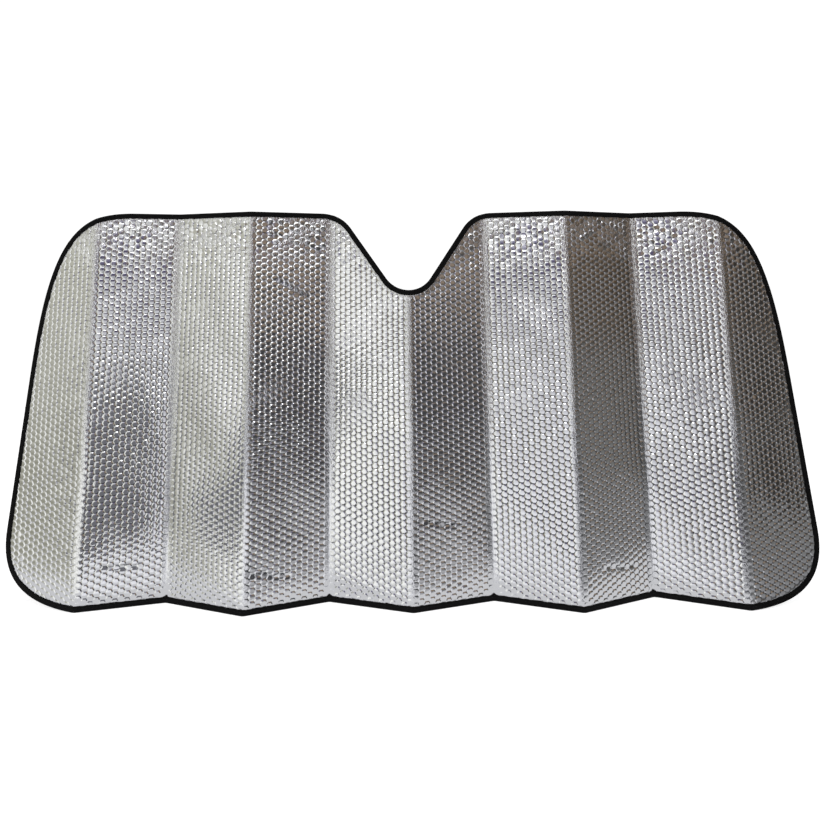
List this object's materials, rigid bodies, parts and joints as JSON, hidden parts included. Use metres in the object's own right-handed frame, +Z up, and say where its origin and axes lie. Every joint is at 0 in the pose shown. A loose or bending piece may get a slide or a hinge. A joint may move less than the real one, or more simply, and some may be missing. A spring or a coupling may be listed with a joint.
{
  "type": "windscreen sunshade",
  "caption": "Folding windscreen sunshade of silver bubble foil with crushed creases, a black sewn edge binding and a notch for the mirror, standing half unfolded.",
  "frame": {"origin": "on the floor, under the middle of the half unfolded shade's box", "axes": "+X along the shade to the right as seen from its front, +Y from front to back, +Z up; the front face looks towards -Y"},
  "size_m": [1.2644, 0.0486, 0.6],
  "materials": {
    "bubble_foil": "bright metallised film over air bubbles",
    "binding_tape": "matt black woven tape",
    "seam_thread": "black sewing thread"
  },
  "bodies": {
    "root": {"foil_sheet": "bubble_foil", "edge_binding": "binding_tape", "seam_thread_front": "seam_thread", "seam_thread_back": "seam_thread"}
  },
  "joints": []
}
